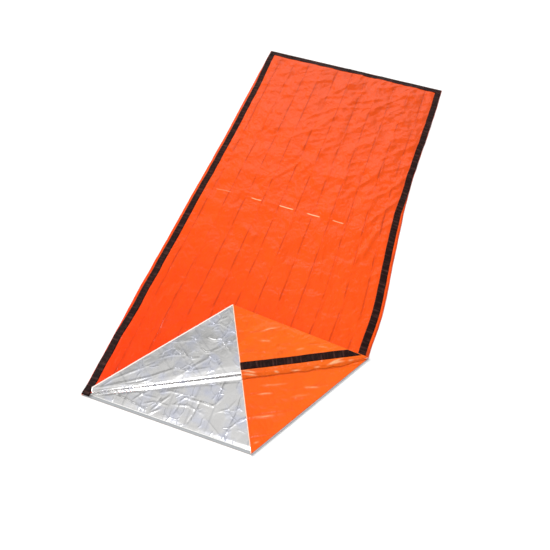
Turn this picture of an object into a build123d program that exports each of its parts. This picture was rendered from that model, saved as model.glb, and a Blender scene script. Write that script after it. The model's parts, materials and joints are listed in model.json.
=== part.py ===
from build123d import *
import os
from math import atan2, tan

# Emergency bivy sack lying flat: two plastic films joined down both long sides and across
# the foot, open at the mouth. One mouth corner is folded open and pressed flat, so the top
# film turns back on itself twice and the bottom film once.
# Frame: +Z up, +Y from the mouth to the foot, origin on the floor under the middle.

# Driving dimensions, in millimetres
sack_width = 900.0
sack_length = 2000.0
corner_height = 460.0      # where the opened corner starts, measured up the right side
film = 0.6                 # plate thickness that stands in for the thin real film
loft_height = 8.0          # underside of the top film above the floor
turnback_gap = 2.0         # air in the top film's long fold
top_corner_gap = 1.2       # air in the top film's second fold
bottom_corner_gap = 4.0    # air in the bottom film's fold
crease_gap = 1.0           # a panel stops this far from the fold beside it
lap_width = 12.0           # folded side seam outside the tape
foot_lap_width = 4.0       # folded foot seam outside the tape
seam_slope_width = 45.0    # width over which the top film comes down to a seam
tape_width = 30.0
tape_thickness = 0.3
hem_depth = 14.0           # turned edge of the bottom film at the mouth
tip_trim = 30.0            # a turned-back panel stops this far short of its sharp ends
corner_lap_width = 20.0    # width over which the opened seam comes down to the bottom film

# The outline and the fold pattern of the opened corner
left, right = -sack_width / 2, sack_width / 2
mouth, foot = -sack_length / 2, sack_length / 2
half_angle = atan2(sack_width, corner_height) / 2
fold_reach = corner_height * tan(half_angle)              # mouth edge taken by the corner
left_mouth = Vector(left, mouth)
left_foot, right_foot = Vector(left, foot), Vector(right, foot)
fold_meet = Vector(right, mouth + corner_height)          # all the folds meet here
bottom_fold = Vector(right - fold_reach, mouth)           # mouth end of the bottom film's fold
downhill = (left_mouth - fold_meet).normalized()          # along the top film's long fold
uphill = Vector(downhill.Y, -downhill.X)                  # square to it, towards the foot
seam_end = fold_meet + downhill * corner_height           # mouth end of the opened seam
top_fold = seam_end + uphill * fold_reach                 # mouth end of the second top fold

# Heights of the layers in the folded corner
bottom_corner_low = film + bottom_corner_gap
turnback_low = loft_height + film + turnback_gap
top_corner_low = turnback_low + film + top_corner_gap
lap_low, lap_high = film, 3 * film


def trimmed(outline, start, end, gap=0.0):
    """The part of a convex outline on the left of the line start-end and gap away from it."""
    along = (end - start).normalized()
    inward = Vector(-along.Y, along.X)
    kept = []
    for index, point in enumerate(outline):
        following = outline[(index + 1) % len(outline)]
        here = (point - start).dot(inward) - gap
        there = (following - start).dot(inward) - gap
        if here >= 0:
            kept.append(point)
        if here * there < 0:
            kept.append(point + (following - point) * (here / (here - there)))
    return kept


def rectangle(x_low, y_low, x_high, y_high):
    return [Vector(x_low, y_low), Vector(x_high, y_low), Vector(x_high, y_high), Vector(x_low, y_high)]


def plate(outline, low, thickness):
    """Flat layer with this outline."""
    face = make_face(Polyline(*[(point.X, point.Y) for point in outline], close=True))
    return extrude(Plane.XY.offset(low) * face, amount=thickness)


def under_top(lift):
    """All the space below the underside of the lofted top film, raised by lift."""
    edge_high, loft_high = film + lift, loft_height + lift
    side, side_top = right - lap_width, right - seam_slope_width
    end, end_top = foot - foot_lap_width, foot - seam_slope_width
    across = [(-side, 0), (side, 0), (side, edge_high), (side_top, loft_high),
              (-side_top, loft_high), (-side, edge_high)]
    lengthways = [(mouth, 0), (end, 0), (end, edge_high), (end_top, loft_high), (mouth, loft_high)]
    across_prism = extrude(Plane.XZ * make_face(Polyline(*across, close=True)), sack_length, both=True)
    length_prism = extrude(Plane.YZ * make_face(Polyline(*lengthways, close=True)), sack_width, both=True)
    return across_prism & length_prism


def top_layer(outline, low, high):
    """Layer over the lofted top film, between two heights above the film's underside."""
    return (under_top(high) - under_top(low)) & plate(outline, 0, 2 * loft_height)


def side_strips(inner, outer, foot_inner, foot_outer):
    """Outlines of the strips along the left side, right side and foot, mitred where they meet."""
    strips = {
        "left": rectangle(left + outer, mouth, left + inner, foot),
        "right": rectangle(right - inner, mouth, right - outer, foot),
        "foot": rectangle(left, foot - foot_inner, right, foot - foot_outer),
    }
    left_mitre = left_foot + Vector(1, -1)
    right_mitre = right_foot + Vector(-1, -1)
    strips["left"] = trimmed(strips["left"], left_mitre, left_foot)
    strips["right"] = trimmed(strips["right"], right_foot, right_mitre)
    strips["foot"] = trimmed(trimmed(strips["foot"], left_foot, left_mitre), right_mitre, right_foot)
    return {name: trimmed(strip, left_mouth, fold_meet, crease_gap) for name, strip in strips.items()}


def flat_panels():
    """The films that lie on the floor and the lofted top film, outside the opened corner."""
    whole = rectangle(left, mouth, right, foot)
    bottom = trimmed(whole, bottom_fold, fold_meet, crease_gap)
    top = trimmed(whole, left_mouth, fold_meet, crease_gap)
    hem = trimmed(rectangle(left + seam_slope_width, mouth, right, mouth + hem_depth),
                  bottom_fold, fold_meet, crease_gap)
    return {
        "bottom_panel": plate(bottom, 0, film),
        "bottom_mouth_hem": plate(hem, film, film),
        "top_panel": top_layer(top, 0, film),
    }


def seams():
    """Folded laps where the two films join, and the tape over each of them."""
    nodes = {}
    for name, strip in side_strips(lap_width, 0, foot_lap_width, 0).items():
        nodes[name + "_lap"] = plate(strip, lap_low, lap_high - lap_low)
    tapes = side_strips(lap_width + tape_width, lap_width, foot_lap_width + tape_width, foot_lap_width)
    for name, strip in tapes.items():
        nodes[name + "_tape"] = top_layer(strip, film, film + tape_thickness)
    return nodes


def opened_corner():
    """The turned-back films of the opened corner, with the stretch of side seam they carry."""
    turnback = trimmed([left_mouth, fold_meet, top_fold], left_mouth, fold_meet, crease_gap)
    turnback = trimmed(turnback, fold_meet, top_fold, crease_gap)
    turnback = trimmed(turnback, fold_meet, fold_meet + uphill, tip_trim)
    turnback = trimmed(turnback, left_mouth, left_mouth - uphill, tip_trim)

    top_corner = trimmed([fold_meet, top_fold, seam_end], fold_meet, top_fold, crease_gap)
    top_seam = trimmed(top_corner, fold_meet, seam_end, -seam_slope_width)
    top_corner = trimmed(top_corner, seam_end, fold_meet, seam_slope_width)
    tape = trimmed(top_seam, seam_end, fold_meet, lap_width)
    tape = trimmed(tape, fold_meet, seam_end, -lap_width - tape_width)

    bottom_corner = trimmed([fold_meet, seam_end, bottom_fold], bottom_fold, fold_meet, crease_gap)
    bottom_corner = trimmed(bottom_corner, fold_meet, seam_end, corner_lap_width)

    # The seam itself comes down from the top film's level to the bottom film's.
    lap_start = fold_meet + downhill * corner_lap_width / tan(half_angle)
    section = [(0, top_corner_low), (0, top_corner_low + film),
               (corner_lap_width, bottom_corner_low + film), (corner_lap_width, bottom_corner_low)]
    section_plane = Plane(origin=lap_start, x_dir=-uphill, z_dir=downhill)
    lap_length = (seam_end - lap_start).length
    return {
        "top_turnback": plate(turnback, turnback_low, film),
        "top_corner": plate(top_corner, top_corner_low, film),
        "corner_seam_strip": plate(top_seam, top_corner_low, film),
        "corner_tape": plate(tape, top_corner_low + film, tape_thickness),
        "corner_lap": extrude(section_plane * make_face(Polyline(*section, close=True)), lap_length),
        "bottom_corner": plate(bottom_corner, bottom_corner_low, film),
    }


os.makedirs("parts", exist_ok=True)
for node, solid in (flat_panels() | seams() | opened_corner()).items():
    export_step(solid, f"parts/{node}.step")
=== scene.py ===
import json
import math
import bpy
import bmesh
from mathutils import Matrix, Quaternion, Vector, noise

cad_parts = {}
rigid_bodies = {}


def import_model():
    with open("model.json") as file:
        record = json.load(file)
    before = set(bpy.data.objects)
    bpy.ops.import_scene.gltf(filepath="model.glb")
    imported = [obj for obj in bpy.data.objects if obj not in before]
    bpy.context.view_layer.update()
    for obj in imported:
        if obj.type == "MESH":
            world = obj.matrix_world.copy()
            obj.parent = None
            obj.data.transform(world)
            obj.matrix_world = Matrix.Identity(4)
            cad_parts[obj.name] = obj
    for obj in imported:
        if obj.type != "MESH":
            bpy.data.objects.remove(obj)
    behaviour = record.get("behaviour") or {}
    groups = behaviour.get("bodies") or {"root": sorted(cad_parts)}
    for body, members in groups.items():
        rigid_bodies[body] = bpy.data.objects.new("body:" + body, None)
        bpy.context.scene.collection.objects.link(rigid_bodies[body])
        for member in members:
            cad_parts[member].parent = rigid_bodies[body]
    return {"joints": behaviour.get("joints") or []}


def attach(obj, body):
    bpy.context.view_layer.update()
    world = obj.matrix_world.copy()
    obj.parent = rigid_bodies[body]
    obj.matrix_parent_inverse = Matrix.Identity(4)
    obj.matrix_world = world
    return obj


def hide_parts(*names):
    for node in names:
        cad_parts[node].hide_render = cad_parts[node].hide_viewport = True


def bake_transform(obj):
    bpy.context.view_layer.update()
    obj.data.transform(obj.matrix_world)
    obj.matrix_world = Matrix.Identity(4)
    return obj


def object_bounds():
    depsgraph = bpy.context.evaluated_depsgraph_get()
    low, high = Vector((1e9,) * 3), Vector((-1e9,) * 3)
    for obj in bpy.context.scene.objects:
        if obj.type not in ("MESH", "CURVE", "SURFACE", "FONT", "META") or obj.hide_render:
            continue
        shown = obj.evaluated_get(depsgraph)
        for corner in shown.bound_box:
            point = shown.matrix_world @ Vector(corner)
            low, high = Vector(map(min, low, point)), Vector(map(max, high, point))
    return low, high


# Emergency bivy sack of thin film, orange outside and metallised inside, laid flat on a
# pale floor. One mouth corner is folded open, so the top film lies back on itself twice
# and the bottom film once.

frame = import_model()
cadBox = [list(corner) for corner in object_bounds()]
bpy.context.scene.view_settings.view_transform = "Standard"
shown = bpy.context.scene.collection.objects
print("frame loaded")

# the plan of the sack, from the frame
(left, mouth, _), (right, foot, _) = cadBox
hinges = {j["name"]: (Vector(j["pos_m"]), Vector(j["axis"]).normalized()) for j in frame["joints"]}
turnHinge, cornerHinge, floorHinge = (
    hinges[name] for name in ("top_turnback_fold", "top_corner_fold", "bottom_corner_fold"))
mm = 0.001
meet = turnHinge[0].to_2d()                          # where all the folds meet
leftMouth = Vector((left, mouth))
uphill = Vector((-turnHinge[1].y, turnHinge[1].x))   # square to the long fold, towards the foot
downhill = -turnHinge[1].to_2d()                     # along the long fold, towards the left mouth
seamEnd = meet + downhill * (meet.y - mouth)
reach = (meet.y - mouth) / floorHinge[1].y
bottomFold = meet - floorHinge[1].to_2d() * reach    # mouth end of the bottom film's fold
topFold = meet + cornerHinge[1].to_2d() * reach      # mouth end of the top film's second fold
offFloorFold = Vector((floorHinge[1].y, -floorHinge[1].x))     # out of the sack, over the fold
offCornerFold = Vector((-cornerHinge[1].y, cornerHinge[1].x))
if offCornerFold.dot(seamEnd - meet) > 0:
    offCornerFold = -offCornerFold
alongOpen = (topFold - bottomFold).normalized()      # the opened mouth edge
offOpen = Vector((alongOpen.y, -alongOpen.x))        # under the folded corner
alongRest = (topFold - leftMouth).normalized()       # the top film's mouth edge, as it lies turned back
offRest = Vector((-alongRest.y, alongRest.x))

films = {
    "skin": 0.2 * mm,            # drawn thickness of the film
    "foldRadius": {"turn": 1.6 * mm, "corner": 0.6 * mm, "floor": 2.4 * mm},
    "packStep": 75 * mm,         # the sack was packed in strips this wide
    "creaseWidth": 7 * mm,       # from the top of a pack fold to its foot
    "overhang": 18 * mm,         # film that drapes over the long fold to the opened seam
    "clear": 0.9 * mm,           # least height of one film above the film it lies on
    "foldStep": 8 * mm,          # length of a face along a fold
}
turnLow = turnHinge[0].z - films["foldRadius"]["turn"]       # top film where it reaches the long fold
turnHigh = turnHinge[0].z + films["foldRadius"]["turn"]
cornerHigh = cornerHinge[0].z + films["foldRadius"]["corner"]
floorLow = floorHinge[0].z - films["foldRadius"]["floor"]
floorHigh = floorHinge[0].z + films["foldRadius"]["floor"]


def halfTurn(point, hinge):
    place, axis = hinge
    arm = point - place
    return place + 2 * arm.dot(axis) * axis - arm


def pastLongFold(x, y):
    # distance from the long fold, towards the foot
    return (Vector((x, y)) - meet).dot(uphill)


def ramp(value, start, end):
    t = min(max((value - start) / (end - start), 0.0), 1.0)
    return t * t * (3 - 2 * t)


def bell(value, centre, width):
    return math.exp(-((value - centre) / width) ** 2)


def bandWidth(along, full, least):
    # the bands beside the long fold widen from the left mouth corner to the opened seam
    return full * min(max(along, 0) / (seamEnd - leftMouth).length, 1) + least


def mix(a, b, share):
    return a + (b - a) * share


# relief of creased film
def swell(x, y, sizeX, sizeY, seed):
    return noise.noise(Vector((x / sizeX, y / sizeY, seed)))


def facets(x, y, cell, seed):
    # flat facets with sharp edges: a warped triangle net with a random height at each knot
    x, y = (x + 0.45 * cell * swell(x, y, cell * 1.3, cell * 1.3, seed),
            y + 0.45 * cell * swell(x, y, cell * 1.3, cell * 1.3, seed + 7.3))
    a, b = (x - y * 0.577) / cell, y * 1.155 / cell
    i, j = math.floor(a), math.floor(b)
    f, g = a - i, b - j
    knots = ((i + 1, j + 1, f + g - 1), (i, j + 1, 1 - f), (i + 1, j, 1 - g)) if f + g > 1 else \
        ((i, j, 1 - f - g), (i + 1, j, f), (i, j + 1, g))
    return sum(share * (2 * noise.cell(Vector((m + 0.5, n + 0.5, seed))) - 1) for m, n, share in knots)


def prepared(ridges):
    # (height, width, points) of each wrinkle, with its box and its runs worked out once
    found = []
    for height, width, points in ridges:
        points = [Vector(p) for p in points]
        runs, total = [], 0.0
        for a, b in zip(points, points[1:]):
            runs.append((a.x, a.y, b.x - a.x, b.y - a.y, (b - a).length, total))
            total += (b - a).length
        reachOut = 2.2 * width * mm
        box = (min(p.x for p in points) - reachOut, max(p.x for p in points) + reachOut,
               min(p.y for p in points) - reachOut, max(p.y for p in points) + reachOut)
        found.append((height * mm, width * mm, runs, total, box))
    return found


def wrinkles(x, y, ridges, sharp=False):
    total = 0.0
    for height, width, runs, length, box in ridges:
        if not (box[0] < x < box[1] and box[2] < y < box[3]):
            continue
        best, along = 1e9, 0.0
        for ax, ay, dx, dy, run, before in runs:
            t = min(max(((x - ax) * dx + (y - ay) * dy) / (run * run), 0.0), 1.0)
            off = math.hypot(x - ax - dx * t, y - ay - dy * t)
            if off < best:
                best, along = off, (before + t * run) / length
        fade = math.sin(math.pi * min(max(0.06 + 0.88 * along, 0), 1)) ** 0.6
        profile = max(0.0, 1 - best / (1.6 * width)) ** 1.5 if sharp else math.exp(-(best / width) ** 2)
        total += height * fade * profile
    return total


def crests(x, y, across, along, degrees, seed):
    # long sharp-topped creases that run at an angle to the sack's length
    turn = math.radians(degrees)
    value = swell(x * math.cos(turn) - y * math.sin(turn), x * math.sin(turn) + y * math.cos(turn),
                  across, along, seed)
    return max(0.0, 1 - 4 * abs(value)) ** 1.3


def concertina(x):
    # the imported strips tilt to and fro, from 0 at one pack fold to 1 at the next
    return abs(((x - left) / films["packStep"] / 2) % 1 - 0.5) * 2


def packRidge(x, y, seed):
    # a sharp ridge along each pack fold, stronger in some places than in others
    strip = (x - left) / films["packStep"]
    near = abs(strip - round(strip)) * films["packStep"]
    strength = 0.6 + 0.9 * swell(round(strip) * 3.1, y, 1, 0.16, seed)
    return max(0.0, 1 - near / films["creaseWidth"]) * max(strength, 0.15)


def summed(kind, x, y, rows):
    # adds up one kind of relief: each row is a height in mm and what the kind asks for
    return sum(height * mm * kind(x, y, *shape) for height, *shape in rows)


# the top film
topLook = {
    "edge": 1.3 * mm, "loft": 6.2 * mm, "lowest": 1.0 * mm,
    "sideSlope": (10 * mm, 58 * mm), "footSlope": (3 * mm, 55 * mm),
    "concertina": 2.2 * mm, "ridge": 1.5 * mm,
    "crossFold": 20 * mm,             # y of the one fold across the sack
    "crossRidge": 1.0 * mm, "crossWidth": 7 * mm, "crossWander": 3 * mm,
    "swells": [(1.4, .060, .150, 5.5)],
    "facets": [(1.2, .060, 2.0), (0.45, .024, 4.0)],
    # slanting creases: height in mm, size across and along, degrees, seed
    "slackCrests": [(3.0, .085, .30, 28, 15.0), (1.5, .05, .16, 48, 16.0)],
    "smallCrests": [(1.0, .036, .09, 35, 17.0)],
    "footCrests": [(2.0, .06, .20, 62, 18.0)], "footFacets": [(1.2, .045, 19.0)],
    # what the seams pull into the film: height, and how far it reaches in
    "footPucker": (1.5 * mm, .040), "sidePucker": (0.8 * mm, .050),
    "wrinkles": prepared([
        (2.6, 9, [(-.206, .065), (-.141, .173), (-.014, .386), (.057, .603)]),
        (1.8, 8, [(-.013, .435), (.038, .488), (.06, .56)]),
        (2.4, 12, [(-.314, .785), (-.149, .846), (-.036, .946)]),
        (2.0, 9, [(-.209, .923), (-.003, .958)]),
        (2.2, 10, [(.23, .365), (.383, .553)]),
        (1.8, 9, [(.293, .776), (.378, .77)]),
        (3.0, 11, [(.295, -.165), (.373, .051)]),
        (2.6, 9, [(.327, -.122), (.39, .258)]),
        (1.6, 10, [(-.36, .30), (-.27, .52), (-.25, .70)]),
        (1.5, 10, [(.12, .62), (.20, .80), (.21, .93)]),
    ]),
}


def topHeight(x, y):
    side, end = min(x - left, right - x), foot - y
    rise = ramp(side, *topLook["sideSlope"]) * ramp(end, *topLook["footSlope"])
    height = topLook["edge"] + topLook["loft"] * rise * (1 + 0.18 * swell(x, y, .22, .34, 3.1))
    relief = topLook["concertina"] * (concertina(x) - 0.5) + topLook["ridge"] * packRidge(x, y, 11.0)
    relief += summed(swell, x, y, topLook["swells"]) + summed(facets, x, y, topLook["facets"])
    # the film is slack, and creased, in the foot half and beside the right tape
    slack = ramp(y, .0, .30) * (0.35 + 0.65 * ramp(x, -.35, .05))
    slack += 0.8 * bell(x, .36, .09) * bell(y, .05, .30)
    relief += slack * summed(crests, x, y, topLook["slackCrests"])
    relief += (0.25 + 0.75 * slack) * summed(crests, x, y, topLook["smallCrests"])
    nearFoot = summed(crests, x, y, topLook["footCrests"]) + summed(facets, x, y, topLook["footFacets"])
    relief += ramp(y, .35, .75) * nearFoot + wrinkles(x, y, topLook["wrinkles"])
    crossing = y - topLook["crossFold"] - topLook["crossWander"] * swell(x, 0, .11, 1, 8.8)
    crossing = topLook["crossRidge"] * max(0.0, 1 - abs(crossing) / topLook["crossWidth"])
    relief += crossing * ramp(swell(x, 0, .045, 1, 2.2), -.05, .35)
    pucker, reachIn = topLook["footPucker"]
    relief += pucker * swell(x, end, .016, .16, 6.0) * math.exp(-end / reachIn)
    pucker, reachIn = topLook["sidePucker"]
    relief += pucker * swell(side, y, .16, .020, 9.0 + (x > 0)) * math.exp(-side / reachIn)
    # flatter under the turned-back corner and at the seams
    covered = ramp((Vector((x, y)) - topFold).dot(offRest), 10 * mm, -25 * mm)
    covered *= ramp((Vector((x, y)) - meet).dot(offCornerFold), 5 * mm, -25 * mm)
    relief *= (0.25 + 0.75 * rise) * (1 - 0.85 * covered)
    return mix(turnLow, max(height + relief, topLook["lowest"]), ramp(pastLongFold(x, y), 0, 55 * mm))


# how far the long sides bow towards +X: (mm, y of the middle, half length)
sideBows = {"right": [(-20, .30, .36), (9, -.34, .15)], "left": [(4, .35, .30), (-3, -.55, .22)]}


def drift(x, y):
    # the long sides aren't quite straight: the film bows in and out a little
    clear = ramp(pastLongFold(x, y), 10 * mm, 120 * mm)
    near = {"right": ramp(x, .05, right), "left": ramp(-x, .05, -left)}
    bow = sum(near[side] * size * mm * bell(y, centre, width)
              for side, bows in sideBows.items() for size, centre, width in bows)
    bow += (near["right"] + near["left"]) * 1.3 * mm * swell(x, y, .5, .05, 4.4)
    return bow * clear * ramp(foot - y, 0, .10)


# the bottom film
bottomLook = {
    "band": 2.9 * mm, "bandWidth": 20 * mm, "bandLeast": 5 * mm,
    "facets": [(0.40, .045, 21.0), (0.10, .020, 23.0)], "concertina": 0.5 * mm, "open": 1.5 * mm,
    "ridges": prepared([
        (1.5, 4, [(-.365, -.955), (-.329, -.962), (-.281, -.967), (-.221, -.976)]),
        (1.3, 4, [(-.218, -.992), (-.200, -.980), (-.174, -.956)]),
        (1.3, 4, [(-.203, -.974), (-.183, -.937), (-.162, -.903)]),
        (1.2, 4, [(-.199, -.904), (-.169, -.887), (-.126, -.883)]),
        (1.0, 3, [(-.134, -.924), (-.110, -.893), (-.087, -.877)]),
        (1.2, 4, [(-.118, -.892), (-.056, -.889), (-.009, -.888), (.002, -.869), (.014, -.845)]),
        (1.0, 3, [(.064, -.985), (.069, -.948), (.084, -.921)]),
        (1.0, 3, [(.084, -.921), (.095, -.903), (.115, -.889)]),
        (1.0, 3, [(-.137, -.985), (-.130, -.974), (-.135, -.946)]),
        (1.0, 3, [(-.275, -.958), (-.260, -.934), (-.234, -.909)]),
        (1.1, 3, [(-.019, -.935), (.005, -.949), (.064, -.985)]),
        (1.1, 4, [(-.145, -.930), (-.091, -.915), (-.030, -.925)]),
        (0.9, 3, [(-.240, -.960), (-.205, -.940), (-.150, -.937)]),
        (0.9, 3, [(.010, -.905), (.045, -.880), (.060, -.845)]),
        (0.8, 3, [(-.300, -.925), (-.245, -.930), (-.200, -.925)]),
    ]),
    "grooves": prepared([
        (1.5, 3, [(-.058, -.880), (-.060, -.912), (-.063, -.943), (-.069, -.970)]),
        (1.3, 3, [(-.124, -.900), (-.122, -.934), (-.128, -.960)]),
        (1.3, 3, [(-.007, -.800), (-.006, -.885)]),
        (1.2, 3, [(.065, -.823), (.070, -.888), (.066, -.930)]),
        (1.3, 3, [(.065, -.958), (.073, -.990)]),
        (1.0, 3, [(-.190, -.915), (-.196, -.945)]),
    ]),
}


def bottomHeight(x, y):
    point = Vector((x, y))
    above, along = pastLongFold(x, y), (point - leftMouth).dot(-downhill)
    under = (point - seamEnd).dot(offOpen)
    width = bandWidth(along, bottomLook["bandWidth"], bottomLook["bandLeast"])
    band = ramp(above, -width, 0) if above < 0 else 1 - ramp(above, 0, 50 * mm)
    band *= bottomLook["band"] * (1 - ramp(under, -4 * mm, 30 * mm)) * ramp(along, 0, 50 * mm)
    openness = ramp(above, -0.6 * width, -width - 6 * mm) * (1 - ramp(under, 0, 28 * mm))
    openness *= ramp(y - mouth, 9 * mm, 26 * mm)
    relief = summed(facets, x, y, bottomLook["facets"]) + bottomLook["open"]
    relief += bottomLook["concertina"] * concertina(x)
    relief += wrinkles(x, y, bottomLook["ridges"], True) - wrinkles(x, y, bottomLook["grooves"], True)
    return floorLow + band + max(relief, 0.0) * openness


# the turned-back part of the top film, silver side up
turnLook = {
    "rise": 2.6 * mm, "bandWidth": 30 * mm, "bandLeast": 4 * mm, "lift": 0.8 * mm,
    "facets": [(0.32, .045, 31.0), (0.08, .020, 33.0)], "ridge": 0.15 * mm,
    "ridges": prepared([
        (1.3, 4, [(-.415, -.963), (-.397, -.955), (-.325, -.912), (-.253, -.866), (-.184, -.810)]),
        (1.0, 3, [(-.397, -.959), (-.340, -.928), (-.276, -.897), (-.209, -.838)]),
        (0.9, 3, [(-.380, -.925), (-.320, -.870), (-.260, -.815)]),
        (1.1, 4, [(-.172, -.749), (-.143, -.755), (-.117, -.742)]),
        (1.1, 4, [(-.133, -.706), (-.105, -.717), (-.079, -.704)]),
        (1.1, 4, [(-.124, -.661), (-.096, -.663), (-.070, -.650)]),
        (0.8, 3, [(-.105, -.717), (-.070, -.688), (-.045, -.654), (-.020, -.628)]),
        (1.0, 4, [(-.155, -.823), (-.122, -.776), (-.084, -.730)]),
        (0.8, 3, [(-.087, -.731), (-.059, -.754)]),
        (0.8, 3, [(-.070, -.655), (-.050, -.672), (-.021, -.687)]),
        (0.9, 3, [(-.117, -.602), (-.107, -.576), (-.084, -.555)]),
        (0.9, 3, [(-.140, -.610), (-.100, -.590), (-.060, -.600)]),
        (0.8, 3, [(-.205, -.735), (-.172, -.749)]),
        (0.8, 3, [(-.200, -.700), (-.155, -.680), (-.133, -.706)]),
        (0.8, 3, [(-.184, -.810), (-.130, -.800), (-.070, -.765)]),
        (0.9, 3, [(-.250, -.790), (-.215, -.765), (-.172, -.749)]),
        (0.8, 3, [(-.090, -.540), (-.070, -.570), (-.062, -.620)]),
    ]),
}


def turnHeight(x, y, filmX, filmY):
    # x and y are where the point lies, filmX and filmY its place on the flat film
    point = Vector((x, y))
    above, along = pastLongFold(x, y), (point - leftMouth).dot(-downhill)
    under = (point - seamEnd).dot(offOpen)
    width = bandWidth(along, turnLook["bandWidth"], turnLook["bandLeast"])
    rise = turnLook["rise"] * min(max(above, 0) / width, 1) * (1 - ramp(above, 50 * mm, 190 * mm))
    rise *= ramp(along, 0.05, 0.35)
    relief = summed(facets, x, y, turnLook["facets"]) + turnLook["ridge"] * packRidge(filmX, filmY, 13.0)
    relief += wrinkles(x, y, turnLook["ridges"], True)
    relief *= ramp(above, 2 * mm, width)
    cover = 1 - ramp(under, -4 * mm, 30 * mm)
    fade = ramp(-(point - meet).dot(offCornerFold), 0, 20 * mm)
    height = turnHigh + (turnLook["lift"] + rise + relief) * cover * fade * ramp(above, 0, 6 * mm)
    return max(height, turnHigh, topHeight(x, y) + films["clear"])


# the turned-back corner, orange side up again
cornerLook = {
    "crown": 3.6 * mm, "base": 1.2 * mm, "ridge": 0.5 * mm,
    "swells": [(2.4, .11, .075, 41.0)], "facets": [(0.9, .050, 42.0)],
    "patchyCrests": [(2.2, .055, .13, 56, 44.0)], "smallCrests": [(1.0, .030, .08, 66, 46.0)],
    "glints": prepared([
        (1.4, 4, [(.051, -.575), (.078, -.552), (.110, -.532)]),
        (1.2, 4, [(.194, -.600), (.222, -.583)]),
        (1.2, 4, [(.060, -.610), (.100, -.598)]),
        (1.0, 4, [(.263, -.560), (.300, -.552)]),
        (1.9, 4, [(.041, -.739), (.065, -.732), (.089, -.728)]),
        (1.8, 4, [(.050, -.748), (.070, -.742), (.094, -.735)]),
        (1.9, 4, [(.147, -.702), (.164, -.698)]),
        (1.9, 4, [(.317, -.618), (.339, -.594), (.364, -.575)]),
        (1.8, 4, [(.329, -.610), (.350, -.594), (.372, -.582)]),
        (1.5, 4, [(.274, -.640), (.295, -.630)]),
        (1.5, 4, [(.200, -.680), (.235, -.664)]),
        (1.5, 4, [(.383, -.577), (.401, -.567)]),
    ]),
}


def cornerHeight(x, y, filmX, filmY):
    above, inside = pastLongFold(x, y), -(Vector((x, y)) - meet).dot(offCornerFold)
    relief = cornerLook["base"] + cornerLook["ridge"] * packRidge(filmX, filmY, 14.0)
    relief += summed(swell, x, y, cornerLook["swells"]) + summed(facets, x, y, cornerLook["facets"])
    patches = ramp(swell(x, y, .1, .1, 45.0), -.15, .25)
    relief += patches * summed(crests, x, y, cornerLook["patchyCrests"])
    relief += summed(crests, x, y, cornerLook["smallCrests"])
    relief += cornerLook["crown"] * ramp(inside, 0, 50 * mm) * ramp(above, 0, 120 * mm)
    relief *= ramp(inside, 0, 18 * mm) * ramp(above, 2 * mm, 16 * mm)
    relief += wrinkles(x, y, cornerLook["glints"], True) * ramp(inside, 0, 12 * mm)
    height = max(cornerHigh + max(relief, -0.2 * mm), turnHeight(x, y, x, y) + films["clear"])
    return mix(cornerHigh - 0.2 * mm, height, ramp(above, 0, 8 * mm)) if above < 8 * mm else height


# the bottom film's turned corner
floorCornerLook = {
    "inside": 3.3 * mm, "ridge": 0.4 * mm,
    "swells": [(0.5, .035, .10, 52.0)], "facets": [(0.55, .050, 51.0)],
    "crests": [(0.7, .05, .14, 66, 54.0)],
    "glints": prepared([
        (1.4, 4, [(.118, -.799), (.145, -.787), (.169, -.777)]),
        (1.4, 4, [(.264, -.721), (.313, -.704)]),
        (1.4, 4, [(.130, -.881), (.165, -.866), (.201, -.849)]),
        (1.3, 4, [(.165, -.962), (.181, -.950)]),
        (1.1, 4, [(.117, -.765), (.160, -.748), (.207, -.725)]),
        (1.0, 4, [(.230, -.770), (.290, -.740)]),
    ]),
}


def floorCornerHeight(x, y, filmX, filmY):
    above, inside = pastLongFold(x, y), -(Vector((x, y)) - meet).dot(offFloorFold)
    relief = floorCornerLook["ridge"] * packRidge(filmX, filmY, 15.0)
    for kind, rows in ((facets, "facets"), (swell, "swells"), (crests, "crests")):
        relief += summed(kind, x, y, floorCornerLook[rows])
    relief += wrinkles(x, y, floorCornerLook["glints"], True)
    relief *= ramp(inside, 0, 15 * mm) * ramp(above, 0, -30 * mm)
    height = mix(floorHigh, floorCornerLook["inside"] + relief, ramp(inside, 0, 35 * mm))
    height = max(height, bottomHeight(x, y) + films["clear"])
    return min(height, floorHigh)


# mesh making
def stretchedGrid(columns, rows, bias=1.0):
    # a grid from 0 to 1; a bias under 1 packs the rows towards the mouth
    mesh = bmesh.new()
    bmesh.ops.create_grid(mesh, x_segments=columns, y_segments=rows, size=0.5)
    for vert in mesh.verts:
        t = vert.co.y + 0.5
        vert.co = (vert.co.x + 0.5, bias * t + (1 - bias) * t * t, 0)
    return mesh


def cutAll(mesh, point, normal, clear):
    geom = mesh.verts[:] + mesh.edges[:] + mesh.faces[:]
    bmesh.ops.bisect_plane(mesh, geom=geom, dist=1e-6, plane_co=(point[0], point[1], 0),
                           plane_no=(normal[0], normal[1], 0), clear_outer=clear)


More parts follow.
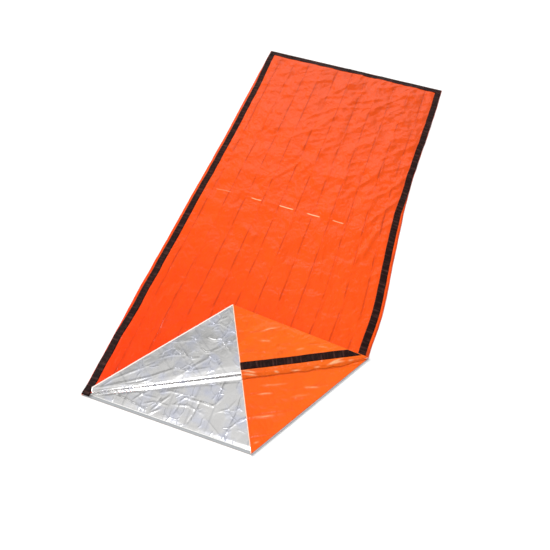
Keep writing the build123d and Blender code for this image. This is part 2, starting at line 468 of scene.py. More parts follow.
def filmPiece(name, spanX, spanY, segments, place, materials, bias=1.0, cuts=(), loops=(),
              finer=None, outsideDown=False, origin=None, thickness=None, shine=None):
    # spanX and spanY are on the flat film; place turns a point of it into where it lies;
    # shine says how bright a painted highlight is there, along the tops of creases
    mesh = stretchedGrid(*segments, bias)
    for vert in mesh.verts:
        vert.co.x = mix(spanX[0], spanX[1], vert.co.x)
        vert.co.y = mix(spanY[0], spanY[1], vert.co.y)
    for point, normal in loops:
        cutAll(mesh, point, normal, False)
    for point, normal in cuts:
        cutAll(mesh, point, normal, True)
    if finer:
        edges = {e for f in mesh.faces if finer(*f.calc_center_median().to_2d()) for e in f.edges}
        bmesh.ops.subdivide_edges(mesh, edges=list(edges), cuts=1, use_grid_fill=True)
    if outsideDown:
        bmesh.ops.reverse_faces(mesh, faces=mesh.faces[:])
    layer = mesh.loops.layers.uv.new("film")
    originX, originY = origin or (left, mouth)
    for face in mesh.faces:
        face.smooth = True
        for loop in face.loops:
            loop[layer].uv = (loop.vert.co.x - originX, loop.vert.co.y - originY)
    for vert in mesh.verts:
        vert.co = place(vert.co.x, vert.co.y)
    if shine:
        glintsAndPaleStreaks = mesh.loops.layers.uv.new("shine")
        for vert in mesh.verts:
            level = min(shine(vert.co.x, vert.co.y), 1.0) ** 2
            for loop in vert.link_loops:
                loop[glintsAndPaleStreaks].uv = (level, 0)
    return finishedPiece(name, mesh, materials, thickness)


def finishedPiece(name, mesh, materials, thickness=None):
    data = bpy.data.meshes.new(name)
    mesh.normal_update()
    mesh.to_mesh(data)
    mesh.free()
    piece = bpy.data.objects.new(name, data)
    shown.link(piece)
    for material in materials:
        data.materials.append(material)
    skin = piece.modifiers.new("skin", "SOLIDIFY")
    skin.thickness = thickness or films["skin"]
    skin.offset = -1
    skin.material_offset = len(materials) - 1
    print("made", name, len(data.polygons), "faces")
    return piece


def placedOnTop(height):
    def place(x, y):
        return Vector((x + drift(x, y), y, height(x, y)))
    return place


def placedTurned(turn, height):
    def place(x, y):
        rest = turn(Vector((x, y, 0)))
        return Vector((rest.x, rest.y, height(rest.x, rest.y, x, y)))
    return place


def turnBack(point):
    return halfTurn(point, turnHinge)


def turnCorner(point):
    return halfTurn(halfTurn(point, turnHinge), cornerHinge)


def turnFloor(point):
    return halfTurn(point, floorHinge)


# materials
def colour(code):
    parts = [int(code[i:i + 2], 16) / 255 for i in (1, 3, 5)]
    return [c / 12.92 if c <= 0.04045 else ((c + 0.055) / 1.055) ** 2.4 for c in parts] + [1.0]


def addNode(tree, kind, inputs=None, out=0, stops=(), **settings):
    # adds a node, sets or links its sockets, fills its ramp, and gives back one of its outputs
    node = tree.nodes.new("ShaderNode" + kind)
    for key, value in settings.items():
        setattr(node, key, value)
    for socket, value in (inputs or {}).items():
        if isinstance(value, bpy.types.NodeSocket):
            tree.links.new(value, node.inputs[socket])
        else:
            node.inputs[socket].default_value = value
    for index, (place, shade) in enumerate(stops):
        elements = node.color_ramp.elements
        element = elements[index] if index < 2 else elements.new(place)
        element.position = place
        element.color = colour(shade) if isinstance(shade, str) else (shade, shade, shade, 1.0)
    return node.outputs[out] if node.outputs else node


def newMaterial(name):
    material = bpy.data.materials.new(name)
    material.use_nodes = True
    material.node_tree.nodes.clear()
    return material, material.node_tree


def filmPattern(tree):
    # distances on the flat film, in metres: across from the left side, along from the mouth
    flat = addNode(tree, "UVMap", uv_map="film")
    across = addNode(tree, "SeparateXYZ", {0: flat}, 0)
    along = addNode(tree, "SeparateXYZ", {0: flat}, 1)
    slow = addNode(tree, "TexNoise", {"Vector": flat, "Scale": 9.0, "Detail": 2.0})
    # the pack folds wander by a millimetre or two, and show more in some places than in others
    wander = addNode(tree, "Math", {0: slow, 1: 0.004}, operation="MULTIPLY")
    near = addNode(tree, "Math", {0: across, 1: wander}, operation="ADD")
    near = addNode(tree, "Math", {0: near, 1: films["packStep"] / 2}, operation="PINGPONG")
    line = addNode(tree, "MapRange", {0: near, 1: 0.0008, 2: 0.0055, 3: 1.0, 4: 0.0})
    shown = addNode(tree, "MapRange", {0: slow, 1: 0.38, 2: 0.56, 3: 0.1, 4: 1.0})
    return flat, across, along, addNode(tree, "Math", {0: line, 1: shown}, operation="MULTIPLY")


def makeOrangeFilm(name, look):
    # polyethylene, pigmented and blown: a wet gloss that many soft creases break up
    material, tree = newMaterial(name)
    flat, across, along, line = filmPattern(tree)
    cloudy = addNode(tree, "TexNoise", {"Vector": flat, "Scale": 14.0, "Detail": 3.0})
    # painted shade: the colour is painted deeper towards the left of the mouth and darker and redder at
    # the foot, with random clouding
    depth = addNode(tree, "Math", {0: across, 1: 0.5, 2: along}, operation="MULTIPLY_ADD")
    depth = addNode(tree, "Math", {0: cloudy, 1: 0.4, 2: depth}, operation="MULTIPLY_ADD")
    depth = addNode(tree, "Math", {0: depth, 1: 2.6}, operation="DIVIDE")
    tone = addNode(tree, "ValToRGB", {0: depth}, stops=look["tones"])
    # painted shade: darker lines along the pack folds
    paintedCreaseShade = addNode(tree, "Math", {0: line, 1: look["creaseShadeShows"]}, operation="MULTIPLY")
    # a pale peach rim along the cut mouth edge: partly the film's pale cut edge, partly a painted
    # highlight
    edge = addNode(tree, "MapRange", {0: along, 1: 0.0015, 2: 0.0035, 3: 1.0, 4: 0.0})
    # painted highlight: a few short pale glint dashes along the fold across the sack
    offFold = addNode(tree, "Math", {0: along, 1: topLook["crossFold"] - mouth}, operation="SUBTRACT")
    offFold = addNode(tree, "Math", {0: offFold}, operation="ABSOLUTE")
    thin = addNode(tree, "MapRange", {0: offFold, 1: 0.0014, 2: 0.0028, 3: 1.0, 4: 0.0})
    share = addNode(tree, "Math", {0: across, 1: right - left}, operation="DIVIDE")
    stops, blur = [], 6 * mm
    for centre, half, level in look["glintDashes"]:
        for side, step in ((-1, -1), (-1, 1), (1, -1), (1, 1)):
            place = centre + side * half + (side + step) * blur / 2
            stops.append(((place - left) / (right - left), level if step == -side else 0.0))
    glintDashes = addNode(tree, "ValToRGB", {0: share}, stops=stops)
    glintDashes = addNode(tree, "Math", {0: thin, 1: glintDashes}, operation="MULTIPLY")
    # painted highlight: pale glints along the tops of the corner's creases
    glintsAndPaleStreaks = addNode(tree, "SeparateXYZ", {0: addNode(tree, "UVMap", uv_map="shine")}, 0)
    glintsAndPaleStreaks = addNode(tree, "Math", {0: glintsAndPaleStreaks, 1: look["glintsAndPaleStreaks"]}, operation="MULTIPLY")
    for share, shade in ((paintedCreaseShade, "paintedCreaseShade"), (edge, "edge"), (glintDashes, "paintedGlint"), (glintsAndPaleStreaks, "paintedGlint")):
        tone = addNode(tree, "Mix", {0: share, 6: tone, 7: colour(look[shade])}, 2, data_type="RGBA")
    if "bend" in look:
        # painted highlight along the bend, and painted shade: grey where it turns under
        tone = addNode(tree, "ValToRGB", {0: addNode(tree, "UVMap", uv_map="bend")}, stops=look["bend"])
    # crumples 26 mm across, slanting creases about 60 mm apart, a fine tooth, and the fold lines
    warp = addNode(tree, "TexNoise", {"Vector": flat, "Scale": 18.0, "Detail": 1.0}, "Color")
    moved = addNode(tree, "VectorMath", {0: warp, 1: (0.03, 0.03, 0.0), 2: flat}, operation="MULTIPLY_ADD")
    crumple = addNode(tree, "TexVoronoi", {"Vector": moved, "Scale": 38.0}, "Distance",
                      feature="DISTANCE_TO_EDGE")
    slanted = addNode(tree, "Mapping", {"Vector": moved, "Rotation": (0.0, 0.0, 0.6),
                                        "Scale": (15.0, 6.0, 1.0)})
    slanted = addNode(tree, "TexNoise", {"Vector": slanted, "Scale": 1.0, "Detail": 2.0})
    slanted = addNode(tree, "Math", {0: slanted, 1: 0.5}, operation="SUBTRACT")
    slanted = addNode(tree, "Math", {0: slanted}, operation="ABSOLUTE")
    fine = addNode(tree, "TexNoise", {"Vector": flat, "Scale": 70.0, "Detail": 3.0, "Distortion": 0.6})
    height = addNode(tree, "Math", {0: crumple, 1: look["crumple"]}, operation="MULTIPLY")
    for part, amount in ((slanted, -3.5 * look["crumple"]), (fine, 0.5), (line, -0.7)):
        height = addNode(tree, "Math", {0: part, 1: amount, 2: height}, operation="MULTIPLY_ADD")
    bump = addNode(tree, "Bump", {"Height": height, "Strength": 0.9, "Distance": 0.0016})
    rough = addNode(tree, "MapRange", {0: cloudy, 1: 0.3, 2: 0.7, 3: 0.17, 4: 0.27})
    surface = addNode(tree, "BsdfPrincipled",
                      {"Base Color": tone, "Roughness": rough, "Normal": bump, "Specular IOR Level": 0.21})
    addNode(tree, "OutputMaterial", {"Surface": surface})
    return material


def makeSilverFilm():
    # aluminium vapour-coated on the film: a soft mirror, crumpled, its coating short of the cut edge
    look = {"base": "#E6E5E4", "cool": "#DADCE8", "paintedCreaseShade": "#9A9BA0", "edge": "#F5E4DA"}
    material, tree = newMaterial("vacuumMetallisedFilm")
    flat, _, along, line = filmPattern(tree)
    cloudy = addNode(tree, "TexNoise", {"Vector": flat, "Scale": 16.0, "Detail": 2.0})
    cool = addNode(tree, "MapRange", {0: cloudy, 1: 0.46, 2: 0.66, 3: 0.0, 4: 1.0})
    # painted shade: darker grey lines along the pack folds
    paintedCreaseShade = addNode(tree, "Math", {0: line, 1: 0.25}, operation="MULTIPLY")
    # a pale peach rim along the cut mouth edge where the coating stops: partly the bare film edge, partly
    # a painted highlight
    edge = addNode(tree, "MapRange", {0: along, 1: 0.0040, 2: 0.0050, 3: 1.0, 4: 0.0})
    tone = colour(look["base"])
    for share, shade in ((cool, "cool"), (paintedCreaseShade, "paintedCreaseShade"), (edge, "edge")):
        tone = addNode(tree, "Mix", {0: share, 6: tone, 7: colour(look[shade])}, 2, data_type="RGBA")
    # crumples about 24 mm across, with thin raised lines where some of them meet
    warp = addNode(tree, "TexNoise", {"Vector": flat, "Scale": 22.0, "Detail": 1.0}, "Color")
    moved = addNode(tree, "VectorMath", {0: warp, 1: (0.04, 0.04, 0.0), 2: flat}, operation="MULTIPLY_ADD")
    crumple, wide = (addNode(tree, "TexVoronoi", {"Vector": moved, "Scale": scale}, "Distance",
                             feature="DISTANCE_TO_EDGE") for scale in (42.0, 19.0))
    raised = addNode(tree, "MapRange", {0: wide, 1: 0.0, 2: 0.07, 3: 1.0, 4: 0.0})
    here = addNode(tree, "MapRange", {0: cloudy, 1: 0.44, 2: 0.56, 3: 0.0, 4: 1.0})
    raised = addNode(tree, "Math", {0: raised, 1: here}, operation="MULTIPLY")
    height = addNode(tree, "Math", {0: crumple, 1: 0.7}, operation="MULTIPLY")
    height = addNode(tree, "Math", {0: raised, 1: 0.9, 2: height}, operation="MULTIPLY_ADD")
    bump = addNode(tree, "Bump", {"Height": height, "Strength": 0.42, "Distance": 0.0010})
    rough = addNode(tree, "MapRange", {0: cloudy, 1: 0.3, 2: 0.7, 3: 0.15, 4: 0.24})
    metal = addNode(tree, "Math", {0: 1.0, 1: edge}, operation="SUBTRACT")
    surface = addNode(tree, "BsdfPrincipled",
                      {"Base Color": tone, "Metallic": metal, "Roughness": rough, "Normal": bump})
    addNode(tree, "OutputMaterial", {"Surface": surface})
    return material


def makeSeamTape():
    # woven polyester tape, dyed brown-black: a dull ribbed cloth, puckered across by the stitching
    look = {"dark": "#200A07", "light": "#4C2D27"}
    material, tree = newMaterial("wovenPolyesterTape")
    flat = addNode(tree, "UVMap", uv_map="film")
    # the real threads are about 0.5 mm apart; drawn at 2.5 mm so that the ribs show
    rib = math.tau / (2.5 * mm)
    waves = []
    for side in (0, 1):
        wave = addNode(tree, "SeparateXYZ", {0: flat}, side)
        wave = addNode(tree, "Math", {0: wave, 1: rib}, operation="MULTIPLY")
        waves.append(addNode(tree, "Math", {0: wave}, operation="SINE"))
    weave = addNode(tree, "Math", {0: waves[0], 1: waves[1]}, operation="MULTIPLY")
    stretched = addNode(tree, "Mapping", {"Vector": flat, "Scale": (12.0, 90.0, 1.0)})
    pucker = addNode(tree, "TexNoise", {"Vector": stretched, "Scale": 1.0, "Detail": 3.0})
    glintsAndPaleStreaks = addNode(tree, "MapRange", {0: pucker, 1: 0.50, 2: 0.70, 3: 0.0, 4: 1.0})
    tone = addNode(tree, "Mix", {0: glintsAndPaleStreaks, 6: colour(look["dark"]), 7: colour(look["light"])}, 2,
                   data_type="RGBA")
    height = addNode(tree, "Math", {0: weave, 1: 0.12, 2: pucker}, operation="MULTIPLY_ADD")
    bump = addNode(tree, "Bump", {"Height": height, "Strength": 0.8, "Distance": 0.0022})
    surface = addNode(tree, "BsdfPrincipled",
                      {"Base Color": tone, "Roughness": 0.36, "Normal": bump, "Specular IOR Level": 0.08})
    addNode(tree, "OutputMaterial", {"Surface": surface})
    return material


def makeHemFilm():
    # the same film turned twice at the mouth: a grey edge, with a painted highlight along its bend
    look = {"grey": "#A6A8AA", "bright": "#FBFAF8"}
    material, tree = newMaterial("turnedFilmHem")
    flat = addNode(tree, "UVMap", uv_map="film")
    soft = addNode(tree, "TexNoise", {"Vector": flat, "Scale": 60.0, "Detail": 3.0})
    along = addNode(tree, "SeparateXYZ", {0: flat}, 1)
    # painted highlight: the bend is painted near white
    bend = addNode(tree, "MapRange", {0: along, 1: 0.0095, 2: 0.0115, 3: 0.0, 4: 1.0})
    tone = addNode(tree, "Mix", {0: bend, 6: colour(look["grey"]), 7: colour(look["bright"])}, 2,
                   data_type="RGBA")
    bump = addNode(tree, "Bump", {"Height": soft, "Strength": 0.4, "Distance": 0.001})
    surface = addNode(tree, "BsdfPrincipled",
                      {"Base Color": tone, "Roughness": 0.4, "Metallic": 0.35, "Normal": bump})
    addNode(tree, "OutputMaterial", {"Surface": surface})
    return material


def makeFloorPaper():
    # matt white studio paper: even, with the faintest tooth
    material, tree = newMaterial("studioPaper")
    place = addNode(tree, "TexCoord", out="Object")
    tooth = addNode(tree, "TexNoise", {"Vector": place, "Scale": 300.0, "Detail": 2.0})
    bump = addNode(tree, "Bump", {"Height": tooth, "Strength": 0.05, "Distance": 0.0005})
    surface = addNode(tree, "BsdfPrincipled", {
        "Base Color": colour("#FAFAFA"), "Roughness": 0.9, "Normal": bump, "Specular IOR Level": 0.1})
    addNode(tree, "OutputMaterial", {"Surface": surface})
    return material


filmLook = {
    # tones carry painted shade by place; the crease colour is painted shade, the edge colour partly and
    # the pale colour wholly painted highlight
    "tones": [(0.14, "#F03D04"), (0.44, "#F34F08"), (0.62, "#F24F08"), (0.90, "#E44C0B")],
    "paintedCreaseShade": "#A62A04", "creaseShadeShows": 0.5, "edge": "#F6C9AE",
    "crumple": 1.3, "paintedGlint": "#FFCB98", "glintsAndPaleStreaks": 0.7,
    # middle, half length and strength of each painted glint dash along the cross fold
    "glintDashes": [(-.330, .030, .25), (-.180, .018, .7), (-.045, .026, .95), (.075, .024, .9),
               (.185, .020, .6)],
}
orangeFilm = makeOrangeFilm("blownPolyethyleneFilm", filmLook)
# painted light: the turned corner is painted a shade lighter, as a painted sheen for the light its tilted
# film catches
litCornerLook = filmLook | {
    "tones": [(0.20, "#F15C0C"), (0.34, "#F5660F")], "paintedCreaseShade": "#CC440A", "creaseShadeShows": 0.3}
litCornerFilm = makeOrangeFilm("litCornerPolyethyleneFilm", litCornerLook)
# the bottom film's turned corner is painted a shade lighter too, as painted sheen
litUnderCornerFilm = makeOrangeFilm("litUnderCornerPolyethyleneFilm", litCornerLook | {
    "tones": [(0.2, "#F4590C"), (0.34, "#F5600E")]})
# painted highlight and painted shade across the bottom film's rounded fold
litAndShadedFoldFilm = makeOrangeFilm("litAndShadedFoldPolyethyleneFilm", litCornerLook | {
    "bend": [(0.10, "#A9A6AA"), (0.50, "#BDB9BB"), (0.62, "#FFFAF4"), (0.90, "#FFFAF4"),
             (0.96, "#F96811")]})
silverFilm, seamTape, hemFilm = makeSilverFilm(), makeSeamTape(), makeHemFilm()
bothSides, bothSidesLitCorner = (orangeFilm, silverFilm), (litCornerFilm, silverFilm)
print("materials made")

# films on the floor
tipTrim = 38 * mm        # the turned-back film's thin end stops this far short of the left mouth corner
foldGap = {name: radius / 4 for name, radius in films["foldRadius"].items()}
packLoops = [((left + k * films["packStep"] + side, 0), (1, 0))
             for k in range(1, 12) for side in (-films["creaseWidth"], 0, films["creaseWidth"])]
nearFold = [((meet - uphill * d).to_tuple(), uphill) for d in (-12 * mm, -6 * mm, -2.5 * mm)]

filmPiece(
    "topFilm", (left + 9 * mm, right - 9 * mm), (mouth, foot - 2 * mm), (130, 300),
    placedOnTop(topHeight), bothSides, cuts=[(meet + uphill * foldGap["turn"], -uphill)],
    loops=packLoops + nearFold + [((0, topLook["crossFold"] + d), (0, 1)) for d in (-6 * mm, 0, 6 * mm)])


def silverShows(x, y):
    return pastLongFold(x, y) < 8 * mm and (Vector((x, y)) - seamEnd).dot(offOpen) < 20 * mm


filmPiece(
    "bottomFilm", (left + 0.5 * mm, right - 0.5 * mm), (mouth, foot - 0.5 * mm), (150, 170),
    placedOnTop(bottomHeight), bothSides, bias=0.42, outsideDown=True, finer=silverShows,
    cuts=[(meet - offFloorFold * foldGap["floor"], offFloorFold)],
    loops=packLoops + [((meet + uphill * d).to_tuple(), uphill) for d in (-6 * mm, 0, 12 * mm)])

# the opened corner
filmPiece(
    "turnbackFilm", (left, right), (mouth, meet.y), (300, 150),
    placedTurned(turnBack, turnHeight), bothSides,
    cuts=[(meet - uphill * foldGap["turn"], uphill),
          (meet - offFloorFold * foldGap["corner"], offFloorFold),
          (leftMouth - downhill * tipTrim, downhill)],
    loops=packLoops + [((meet - uphill * d).to_tuple(), uphill) for d in (2.5 * mm, 6 * mm)])


# how the corner film drapes past the seam line: out from it and height, in mm, at even steps
drape = [(0, 12.2), (4.2, 10.9), (8.5, 8.6), (12.9, 6.4), (17.2, 5.1)]


def placeCornerFilm(x, y):
    # past the seam line the film drapes over the long fold, down to the bottom film
    beyond = max(x - right, 0) / films["overhang"]
    rest = turnCorner(Vector((min(x, right), y, 0)))
    if beyond <= 0:
        return Vector((rest.x, rest.y, cornerHeight(rest.x, rest.y, x, y)))
    steps = len(drape) - 1
    step = min(int(beyond * steps), steps - 1)
    share = beyond * steps - step
    out = mix(drape[step][0], drape[step + 1][0], share) * mm
    out *= ramp((rest.to_2d() - meet).dot(downhill), -30 * mm, 120 * mm)
    spot = rest.to_2d() - uphill * out * (1 + 0.25 * swell(x, y, 1, .035, 47.0))
    pucker = 2.2 * mm * abs(swell(x, y, .03, .016, 48.0)) * math.sin(math.pi * min(beyond, 1))
    return Vector((spot.x, spot.y, mix(drape[step][1], drape[step + 1][1], share) * mm + pucker))


filmPiece(
    "cornerFilm", (bottomFold.x - 2 * mm, right + films["overhang"]), (mouth, meet.y), (90, 150),
    placeCornerFilm, bothSidesLitCorner, cuts=[(meet + offFloorFold * foldGap["corner"], -offFloorFold)],
    loops=packLoops + [((right + k * films["overhang"] / 4, 0), (1, 0)) for k in (-1, 0, 1, 2, 3)]
    + [((meet + offFloorFold * d).to_tuple(), offFloorFold) for d in (3 * mm, 8 * mm)],
    shine=lambda x, y: wrinkles(x, y, cornerLook["glints"], True) / (1.5 * mm))

filmPiece(
    "cornerUnderFilm", (bottomFold.x - 2 * mm, right), (mouth, meet.y), (88, 150),
    placedTurned(turnFloor, floorCornerHeight), (litUnderCornerFilm, silverFilm), outsideDown=True,
    cuts=[(meet + offFloorFold * foldGap["floor"], -offFloorFold)],
    loops=packLoops + [((meet + offFloorFold * d).to_tuple(), offFloorFold) for d in (3 * mm, 8 * mm)],
    shine=lambda x, y: wrinkles(x, y, floorCornerLook["glints"], True) / (1.6 * mm))

cornerLapTop = 5.15 * mm
filmPiece(
    "cornerLap", (right - 20 * mm, right - 8 * mm), (mouth, meet.y), (5, 150),
    placedTurned(turnFloor, lambda x, y, u, v: min(
        floorCornerHeight(x, y, u, v) + 0.55 * mm + 0.35 * mm * swell(u, v, .02, .009, 61.0),
        cornerLapTop)),
    (litUnderCornerFilm,), outsideDown=True, cuts=[(meet + offFloorFold * foldGap["floor"], -offFloorFold)],
    thickness=0.4 * mm)


# rounded folds
def foldPiece(name, hinge, radius, away, length, bodyNames, toFilm, materials, orangeOutside=True,
              bulge=1.0, fromTop=False):
    # half a cylinder around the hinge: away points out of its bend, toFilm leads to the flat film
    mesh = stretchedGrid(max(int(length / films["foldStep"]), 4), 8)
    place, axis = hinge
    layer, bend = mesh.loops.layers.uv.new("film"), mesh.loops.layers.uv.new("bend")
    spots = {}
    for vert in mesh.verts:
        alongFold = length * vert.co.x
        angle = math.pi * vert.co.y
        line = place + axis * alongFold
        spots[vert] = (toFilm(line), vert.co.y)
        out = radius * mix(1.0, bulge, ramp(alongFold, 0, 0.6 * length)) * math.sin(angle)
        vert.co = line + away.to_3d() * out - Vector((0, 0, radius * math.cos(angle)))
    for face in mesh.faces:
        face.smooth = True
        for loop in face.loops:
            spot, bendShare = spots[loop.vert]
            loop[layer].uv = (spot.x - left, spot.y - mouth)
            loop[bend].uv = (bendShare, 0)
    mesh.normal_update()
    middle = max(mesh.faces, key=lambda f: f.calc_center_median().to_2d().dot(away))
    if (middle.normal.to_2d().dot(away) > 0) != orangeOutside:
        bmesh.ops.reverse_faces(mesh, faces=mesh.faces[:])
    piece = finishedPiece(name, mesh, materials)
    # the two ends of the bend, below and above the hinge, each with the body it meets
    up = Vector((0, 0, 2 * radius))
    ends = [(bodyNames[0], place - up), (bodyNames[1], place + up)]
    if fromTop:  # an exact half turn has two ways round; told from the upper film it takes the other
        ends.reverse()
    (first, start), (last, end) = ends
    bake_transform(piece)
    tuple(start)
    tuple(end)


foldPiece("longFold", (turnHinge[0], -turnHinge[1]), films["foldRadius"]["turn"], -uphill,
          (meet - leftMouth).length - tipTrim, ("sack", "top_turnback"), lambda p: p, bothSides,
          orangeOutside=False, fromTop=True)
foldPiece("cornerFold", cornerHinge, films["foldRadius"]["corner"], offCornerFold, reach,
          ("top_turnback", "top_corner"), turnBack, bothSidesLitCorner)
foldPiece("floorFold", (floorHinge[0], -floorHinge[1]), films["foldRadius"]["floor"], offFloorFold,
          reach, ("sack", "bottom_corner"), lambda p: p, (litAndShadedFoldFilm, silverFilm), bulge=1.7)

# seams: laps and tapes
seamLook = {
    "tapeWidth": 28 * mm, "footTapeWidth": 28 * 1.05 * mm, "tapeLift": 0.55 * mm, "tapeSkin": 0.3 * mm,
    "lapWidth": 12 * mm, "footLap": 4 * mm, "under": 1 * mm,      # a lap goes this far under its tape
    "lapEdge": 1.2 * mm, "lapSkin": 0.5 * mm,
    "margin": 1.5 * mm,                                           # lap that shows outside a tape
}
tapeWidth = seamLook["tapeWidth"]
lapWidth = seamLook["lapWidth"] + seamLook["under"]
footLapWidth = seamLook["footLap"] + seamLook["under"]


def leftMargin(y):
    wide = 9 * mm * ramp(y, -.78, -.60) * ramp(y, .93, .70)
    return seamLook["margin"] * (1 + swell(0, y, 1, .06, 71.0)) + wide


def rightMargin(y):
    wide = 11 * mm * ramp(y, .30, .10)
    return seamLook["margin"] * (1 + swell(0, y, 1, .07, 72.0)) + wide


def placeLap(x, y):
    # a lap slopes from the tape's side down to the floor film
    side, end = min(x - left, right - x), foot - y
    if end < side and end < footLapWidth:
        share, inner = end / footLapWidth, topHeight(x, foot - footLapWidth)
    else:
        share = min(side / lapWidth, 1)
        inner = topHeight(left + lapWidth if x < 0 else right - lapWidth, y)
    lift = seamLook["lapEdge"] + (inner + 0.3 * mm - seamLook["lapEdge"]) * share ** 0.8
    lift += 0.35 * mm * swell(x, y, .01, .012, 73.0) * share
    return Vector((x + drift(x, y), y, lift))


for name, spanX, spanY, segments, cuts in (
        ("leftLap", (left, left + lapWidth), (mouth, foot), (4, 250), [(meet, -uphill)]),
        ("rightLap", (right - lapWidth, right), (mouth, foot), (4, 250), [(meet, -uphill)]),
        ("footLap", (left + seamLook["lapWidth"], right - seamLook["lapWidth"]),
         (foot - footLapWidth, foot), (120, 3), [])):
    filmPiece(name, spanX, spanY, segments, placeLap, (orangeFilm,), cuts=cuts,
              thickness=seamLook["lapSkin"])


def tapePlace(margin, sign):
    # x runs over the tape's width; the margin outside it changes along the seam
    def place(x, y):
        start = left + margin(y) if sign > 0 else right - margin(y) - tapeWidth
        spotX = start + x
        lift = seamLook["tapeLift"] + 0.5 * mm * swell(x, y, .05, .008, 74.0 + sign)
        inside = max(min(spotX, right - 9.5 * mm), left + 9.5 * mm)
        height = max(topHeight(inside, y), placeLap(spotX, y).z + 0.2 * mm)
        past = pastLongFold(spotX, y)
        if past < 0:
            height = mix(turnLow, 4.5 * mm, min(-past / (17 * mm), 1))
        return Vector((spotX + drift(spotX, y), y, height + lift))
    return place


def placeFootTape(x, y):
    spotY = foot - seamLook["margin"] - seamLook["footTapeWidth"] + y
    lift = seamLook["tapeLift"] + 0.4 * mm * swell(x, y, .009, .05, 77.0)
    return Vector((x + drift(x, spotY), spotY, topHeight(x, min(spotY, foot - 3 * mm)) + lift + 0.4 * mm))


def cornerTapeHeight(x, y, filmX, filmY):
    lift = seamLook["tapeLift"] + 0.35 * mm * swell(filmX, filmY, .05, .009, 78.0)
    return cornerHeight(x, y, filmX, filmY) + lift


for name, spanX, spanY, segments, place, cuts in (
        ("leftTape", (0, tapeWidth), (mouth + 3 * mm, foot - 6 * mm), (6, 330),
         tapePlace(leftMargin, 1), []),
        ("rightTape", (0, tapeWidth), (meet.y - 8 * mm, foot - 6 * mm), (6, 260),
         tapePlace(rightMargin, -1), []),
        ("footTape", (left + 3 * mm, right - 3 * mm), (0, seamLook["footTapeWidth"]), (170, 6),
         placeFootTape, []),
        ("cornerTape",
         (right - seamLook["lapWidth"] - tapeWidth, right - seamLook["lapWidth"]),
         (mouth + 1 * mm, meet.y), (6, 90), placedTurned(turnCorner, cornerTapeHeight),
         [(meet + offFloorFold * 2 * mm, -offFloorFold)])):
    filmPiece(name, spanX, spanY, segments, place, (seamTape,), cuts=cuts, origin=(0, 0),
              thickness=seamLook["tapeSkin"])

hemLook = {"depth": 13 * mm, "edge": 0.5 * mm, "low": 0.75 * mm, "crown": 0.9 * mm, "ripple": 0.25 * mm}


def placeHem(x, y):
    across = (y - mouth) / hemLook["depth"]
    lift = hemLook["low"] + hemLook["crown"] * math.sin(math.pi * min(max(across, 0), 1)) ** 0.7
    lift += hemLook["ripple"] * swell(x, y, .02, .05, 79.0)
    return Vector((x, y, floorLow + films["skin"] + lift))


filmPiece("mouthHem", (left + 4 * mm, right),
          (mouth + hemLook["edge"], mouth + hemLook["edge"] + hemLook["depth"]), (150, 5),
          placeHem, (hemFilm,), cuts=[(meet, offFloorFold)], thickness=seamLook["lapSkin"])
print("seams made")

# what each piece rides on and stands for
wide, deep, tall = right - left, meet.y - mouth, foot - mouth
cornerWide = right - bottomFold.x
standing = {
    # body, nodes of the CAD model, and for a sheet its flat size and its area where it isn't a rectangle
    "bottomFilm": ("sack", ["bottom_panel"], (wide, tall), 1.735),
    "topFilm": ("sack", ["top_panel"], (wide, tall), 1.593),
    "leftLap": ("sack", ["left_lap"], None, None),
    "rightLap": ("sack", ["right_lap"], None, None),
    "footLap": ("sack", ["foot_lap"], None, None),
    "leftTape": ("sack", ["left_tape"], (tapeWidth, tall), None),
    "rightTape": ("sack", ["right_tape"], (tapeWidth, foot - meet.y), None),
    "footTape": ("sack", ["foot_tape"], (wide, seamLook["footTapeWidth"]), None),
    "mouthHem": ("sack", ["bottom_mouth_hem"], None, None),
    "turnbackFilm": ("top_turnback", ["top_turnback"], (wide, deep), 0.1423),
    "cornerFilm": ("top_corner", ["top_corner", "corner_seam_strip"], (cornerWide, deep), 0.0687),
    "cornerTape": ("top_corner", ["corner_tape"], (tapeWidth, deep), None),
    "cornerUnderFilm": ("bottom_corner", ["bottom_corner"], (cornerWide, deep), 0.0647),
    "cornerLap": ("bottom_corner", ["corner_lap"], None, None),
}
for name, (body, nodes, flat, area) in standing.items():
    piece = bpy.data.objects[name]
    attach(piece, body)
    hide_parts(*nodes)
    ("seam_tape" if "Tape" in name else
            "film_inside" if name == "mouthHem" else "film_outside")

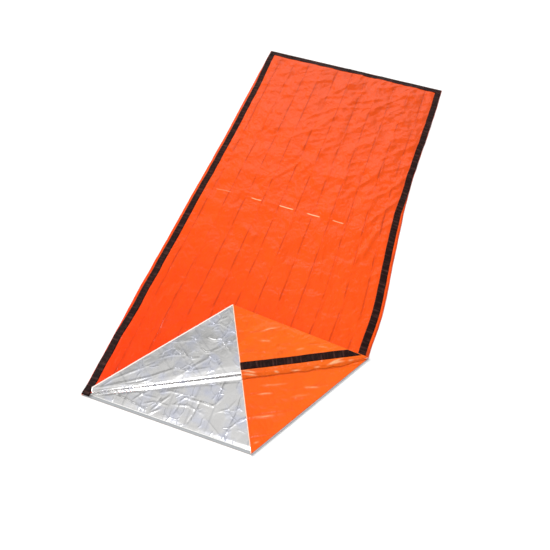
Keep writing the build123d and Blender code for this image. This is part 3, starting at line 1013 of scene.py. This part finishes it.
# floor, light and camera
studio = {
    "floor": 120.0,
    # height of the direction, brightness: pale low behind the foot, a dim ceiling, bright overhead
    "sky": [(0.0, 0.88), (0.28, 0.80), (0.40, 0.30), (0.52, 0.45), (0.60, 1.10), (0.64, 1.10),
            (0.71, 0.58), (0.78, 0.30), (0.86, 0.48), (0.90, 0.80), (0.93, 0.77), (0.955, 0.78),
            (0.975, 0.88), (0.99, 1.32), (1.0, 1.50)],
    "lamps": [
        # name, from where, spread in degrees, strength
        ("keyLamp", (-0.86, 0.08, 0.50), 25.0, 2.5),
        ("topLamp", (-0.05, -0.10, 1.00), 9.0, 0.32),
        ("window", (-0.15, 0.79, 0.62), 30.0, 0.27),
    ],
    "camera": {"place": (0.3724, -1.4797, 1.8915), "aim": (0.0183, -0.3132, 0.0), "roll": 2.283,
               "lens": 37.585},
}
floorMesh = stretchedGrid(8, 8)
for vert in floorMesh.verts:
    vert.co = ((vert.co.x - 0.5) * studio["floor"], (vert.co.y - 0.5) * studio["floor"], 0)
floorData = bpy.data.meshes.new("floor")
floorMesh.to_mesh(floorData)
floorMesh.free()
floor = bpy.data.objects.new("floor", floorData)
floorData.materials.append(makeFloorPaper())
shown.link(floor)

for name, source, spread, strength in studio["lamps"]:
    lamp = bpy.data.lights.new(name, "SUN")
    lamp.energy, lamp.angle = strength, math.radians(spread)
    lampObject = bpy.data.objects.new(name, lamp)
    lampObject.rotation_mode = "QUATERNION"
    lampObject.rotation_quaternion = Vector(source).to_track_quat("Z", "Y")
    shown.link(lampObject)

world = bpy.data.worlds.new("paleStudio")
bpy.context.scene.world = world
world.use_nodes = True
worldTree = world.node_tree
worldTree.nodes.clear()
direction = addNode(worldTree, "TexCoord", out="Generated")
heightOf = addNode(worldTree, "SeparateXYZ", {0: direction}, 2)
shades = addNode(worldTree, "ValToRGB", {0: heightOf}, stops=studio["sky"])
background = addNode(worldTree, "Background", {"Color": shades, "Strength": 1.0})
addNode(worldTree, "OutputWorld", {"Surface": background})

lens = bpy.data.cameras.new("camera")
lens.lens = studio["camera"]["lens"]
camera = bpy.data.objects.new("camera", lens)
camera.location = studio["camera"]["place"]
camera.rotation_mode = "QUATERNION"
look = (Vector(studio["camera"]["aim"]) - camera.location).to_track_quat("-Z", "Y")
camera.rotation_quaternion = look @ Quaternion((0, 0, 1), math.radians(studio["camera"]["roll"]))
shown.link(camera)
bpy.context.scene.camera = camera
print("floor, light and camera made")
